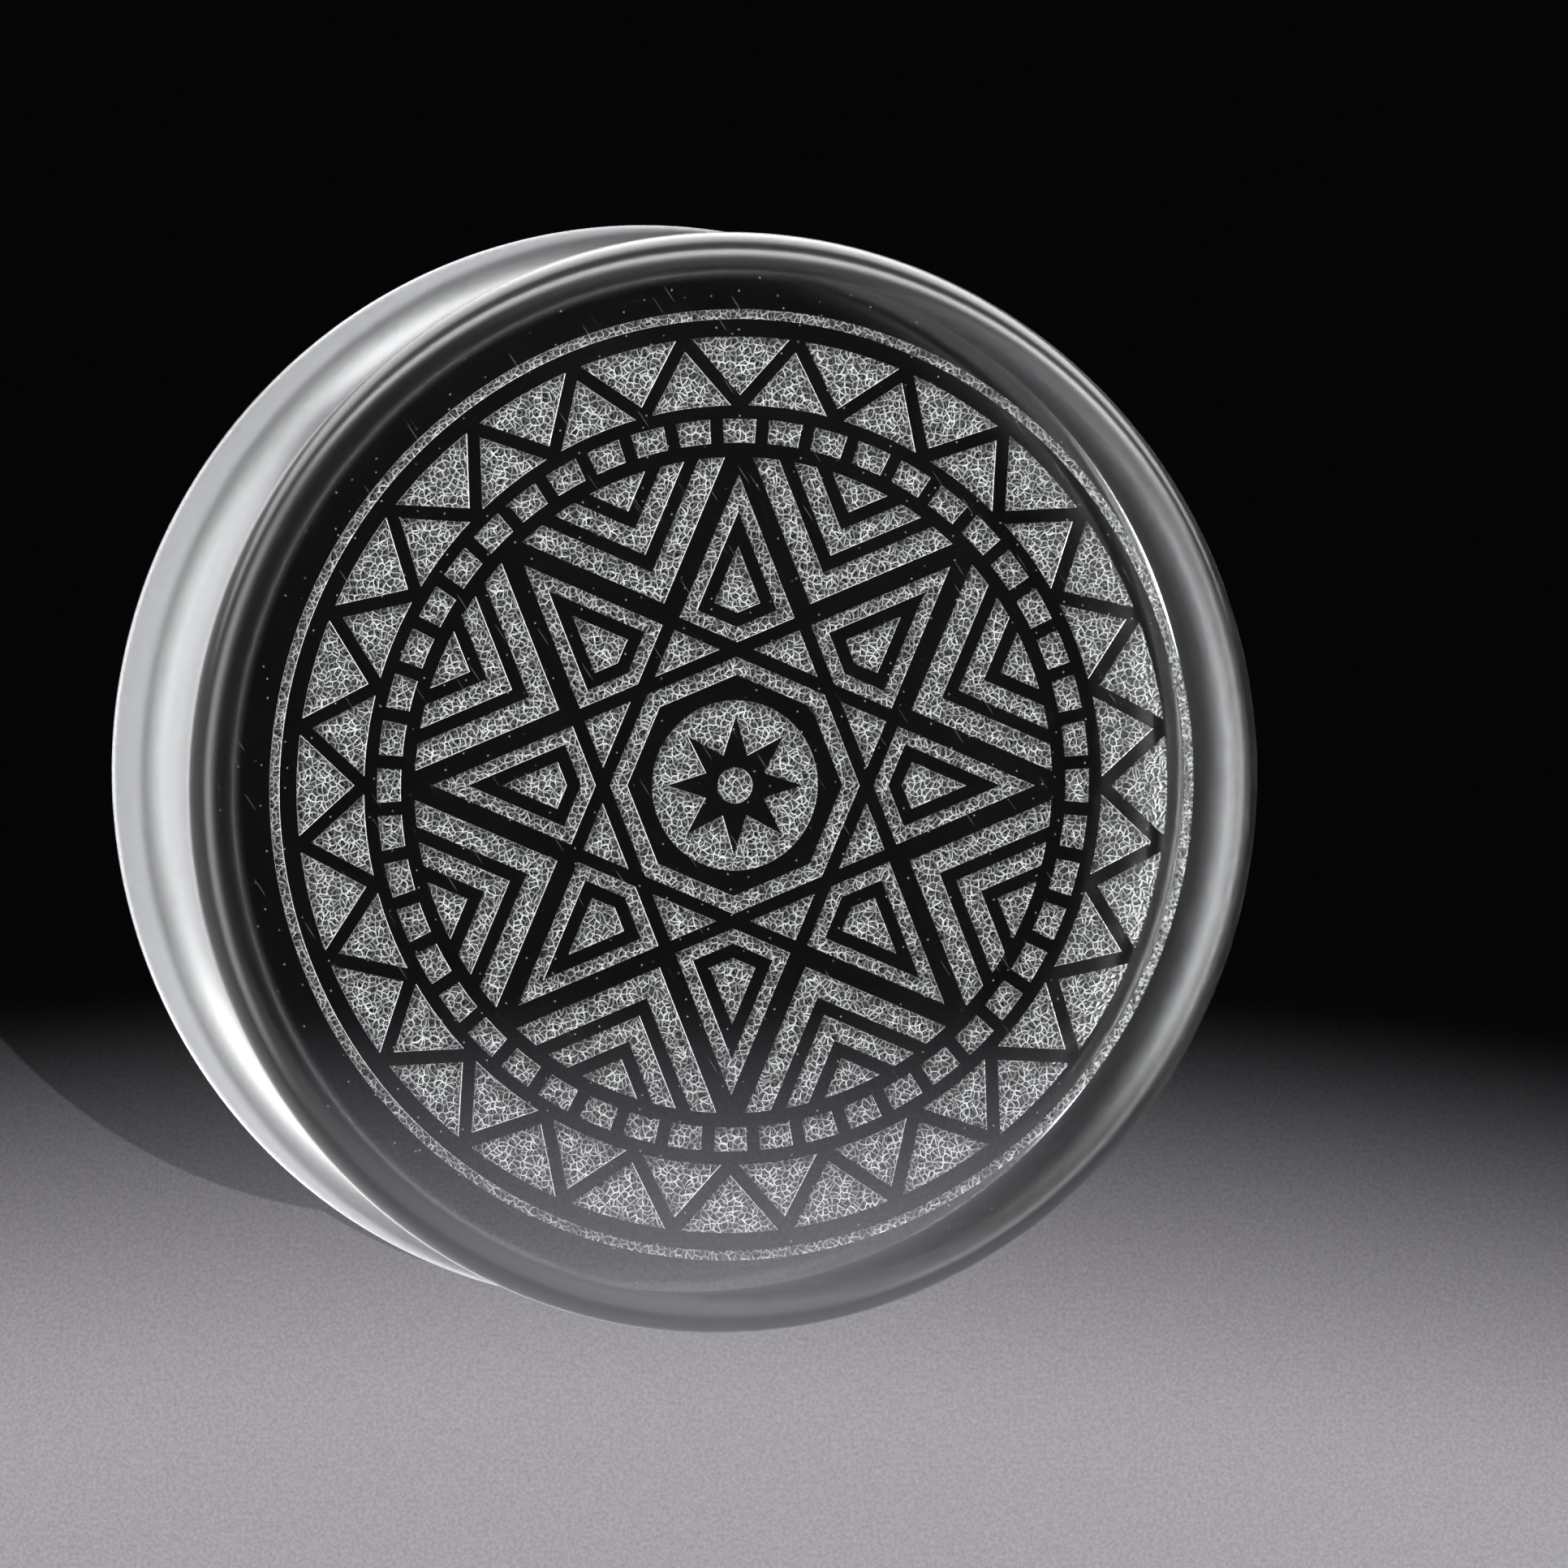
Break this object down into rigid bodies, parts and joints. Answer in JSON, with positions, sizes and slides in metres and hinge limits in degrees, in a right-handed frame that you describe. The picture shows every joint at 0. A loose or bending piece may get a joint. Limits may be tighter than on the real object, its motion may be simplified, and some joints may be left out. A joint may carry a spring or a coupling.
{
  "type": "double flare ear plug",
  "caption": "Clear glass double flare ear plug: a solid round plug with a saddle between two equal rounded flares and a frosted geometric star design sunk into one end face.",
  "frame": {"origin": "centre of the plain end face, which the plug lies on", "axes": "+Z along the plug's axis from the plain end face to the engraved end face; +X and +Y across the plug, with +Y towards the top of the engraved design"},
  "size_m": [0.034, 0.034, 0.0133],
  "materials": {
    "clear_glass": "polished clear glass, with the engraved fields frosted white"
  },
  "bodies": {
    "root": {"glass_plug": "clear_glass"}
  },
  "joints": []
}
